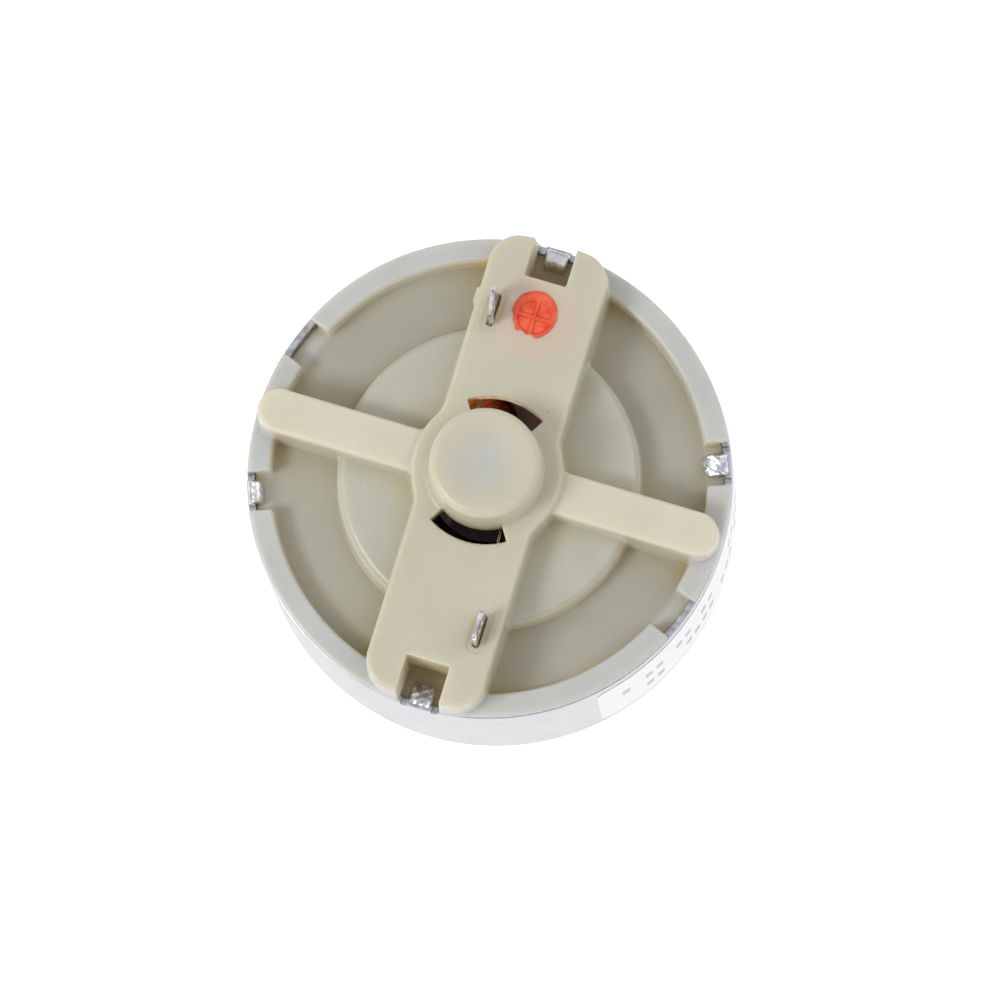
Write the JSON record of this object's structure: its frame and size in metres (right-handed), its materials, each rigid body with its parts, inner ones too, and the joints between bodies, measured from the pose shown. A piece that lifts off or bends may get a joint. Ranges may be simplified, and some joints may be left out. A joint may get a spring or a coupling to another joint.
{
  "type": "flat vibration motor",
  "caption": "Flat brushed DC can motor with a moulded end bell, two blade terminals and a half-disc eccentric weight on its shaft, for vibration.",
  "frame": {"origin": "centre of the can's front face, on the shaft's axis", "axes": "+Z along the shaft towards the moulded end bell, +Y along the end bell's wide bar towards the red polarity mark, +X to the right of it"},
  "size_m": [0.0244, 0.0244, 0.022],
  "materials": {
    "can_steel": "bright plated",
    "nylon": "natural nylon, satin",
    "bush": "sintered bronze",
    "thrust_plastic": "smooth",
    "magnet": "ground ferrite",
    "spring_steel": "satin",
    "tinned_terminal": "tinned",
    "brush_leaf": "spring alloy, satin",
    "damper": "matt",
    "red_paint": "hand-dabbed paint",
    "label": "printed film",
    "shaft_steel": "ground",
    "lamination": "stamped",
    "insulator": "moulded",
    "winding": "enamelled copper",
    "commutator_resin": "moulded",
    "commutator_copper": "turned copper",
    "varistor": "sintered disc",
    "weight": "die-cast, satin"
  },
  "bodies": {
    "stator": {"motor_can": "can_steel", "end_bell": "nylon", "front_bush": "bush", "rear_bush": "bush", "thrust_plate": "thrust_plastic", "magnet_north": "magnet", "magnet_south": "magnet", "magnet_clip": "spring_steel", "terminal_positive": "tinned_terminal", "terminal_negative": "tinned_terminal", "brush_leaf_positive": "brush_leaf", "brush_leaf_negative": "brush_leaf", "brush_damper_positive": "damper", "brush_damper_negative": "damper", "polarity_mark": "red_paint", "label": "label"},
    "rotor": {"shaft": "shaft_steel", "armature_core": "lamination", "insulator_front": "insulator", "insulator_rear": "insulator", "coil_1": "winding", "coil_2": "winding", "coil_3": "winding", "commutator_hub": "commutator_resin", "commutator_segment_1": "commutator_copper", "commutator_segment_2": "commutator_copper", "commutator_segment_3": "commutator_copper", "varistor_ring": "varistor", "front_spacer": "thrust_plastic", "rear_spacer": "thrust_plastic", "eccentric_weight": "weight"}
  },
  "joints": [
    {"name": "rotor_spin", "type": "hinge", "parent": "stator", "child": "rotor", "pos_m": [0, 0, 0], "axis": [0, 0, 1], "continuous": true}
  ]
}
